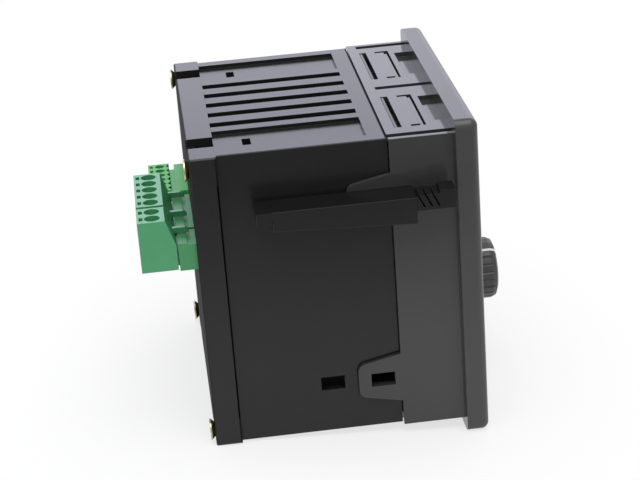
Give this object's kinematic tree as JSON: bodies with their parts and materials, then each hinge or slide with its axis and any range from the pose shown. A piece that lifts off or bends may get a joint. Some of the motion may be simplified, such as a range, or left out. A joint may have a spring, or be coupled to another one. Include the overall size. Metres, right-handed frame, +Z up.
{
  "type": "temperature controller",
  "caption": "Square panel-mount temperature controller with a vented plastic case, a fluted setpoint knob, plug-in screw terminals at the rear and side mounting clips.",
  "frame": {"origin": "middle of the bezel's back face, which bears on the front of the panel", "axes": "+Y into the panel, from the front to the terminals; +Z up; +X to the right of someone facing the front"},
  "size_m": [0.111, 0.1074, 0.096],
  "materials": {
    "front_plastic": "semi-gloss moulded, dark grey",
    "case_plastic": "semi-gloss moulded, near black",
    "clip_plastic": "satin moulded, black",
    "screw_zinc": "yellow zinc plated",
    "display_pane": "smoked clear",
    "display_case": "moulded",
    "lamp_red": "tinted clear",
    "lamp_green": "tinted clear",
    "pot_metal": "plain",
    "nut_metal": "nickel plated",
    "knob_plastic": "satin moulded, dark grey",
    "pointer_white": "inlaid white",
    "board": "solder mask",
    "core_iron": "varnished laminations",
    "coil_tape": "tape wrapped",
    "relay_case": "moulded",
    "capacitor_sleeve": "sleeved",
    "terminal_green": "moulded, green",
    "terminal_bright_green": "moulded, bright green",
    "pin_tin": "tinned"
  },
  "bodies": {
    "case": {"capacitor": "capacitor_sleeve", "cover_screw_1": "screw_zinc", "cover_screw_2": "screw_zinc", "cover_screw_3": "screw_zinc", "cover_screw_4": "screw_zinc", "display_module": "display_case", "display_window": "display_pane", "front_board": "board", "front_housing": "front_plastic", "header_2": "terminal_green", "header_2_pin_1": "pin_tin", "header_2_pin_2": "pin_tin", "header_5": "terminal_green", "header_5_pin_1": "pin_tin", "header_5_pin_2": "pin_tin", "header_5_pin_3": "pin_tin", "header_5_pin_4": "pin_tin", "header_5_pin_5": "pin_tin", "header_6": "terminal_bright_green", "header_6_pin_1": "pin_tin", "header_6_pin_2": "pin_tin", "header_6_pin_3": "pin_tin", "header_6_pin_4": "pin_tin", "header_6_pin_5": "pin_tin", "header_6_pin_6": "pin_tin", "main_board": "board", "potentiometer": "pot_metal", "potentiometer_nut": "nut_metal", "rear_cover": "case_plastic", "rear_housing": "case_plastic", "relay": "relay_case", "status_lamp_1": "lamp_red", "status_lamp_2": "lamp_green", "terminal_board": "board", "transformer_coil": "coil_tape", "transformer_core": "core_iron"},
    "knob": {"setpoint_knob": "knob_plastic", "knob_pointer": "pointer_white", "potentiometer_shaft": "pot_metal"},
    "plug_two": {"plug_2": "terminal_green"},
    "plug_five": {"plug_5": "terminal_green"},
    "plug_six": {"plug_6": "terminal_bright_green"},
    "left_clip": {"clip_left": "clip_plastic"},
    "right_clip": {"clip_right": "clip_plastic"}
  },
  "joints": [
    {"name": "knob_turn", "type": "hinge", "parent": "case", "child": "knob", "pos_m": [0, -0.0129, -0.0174], "axis": [0, -1, 0], "range_deg": [-182, 118]},
    {"name": "plug_two_pull", "type": "slide", "parent": "case", "child": "plug_two", "axis": [0, 1, 0], "range_m": [0, 0.012]},
    {"name": "plug_five_pull", "type": "slide", "parent": "case", "child": "plug_five", "axis": [0, 1, 0], "range_m": [0, 0.012]},
    {"name": "plug_six_pull", "type": "slide", "parent": "case", "child": "plug_six", "axis": [0, 1, 0], "range_m": [0, 0.012]},
    {"name": "left_clip_slide", "type": "slide", "parent": "case", "child": "left_clip", "axis": [0, -1, 0], "range_m": [0, 0.0016]},
    {"name": "right_clip_slide", "type": "slide", "parent": "case", "child": "right_clip", "axis": [0, -1, 0], "range_m": [0, 0.0016]}
  ]
}
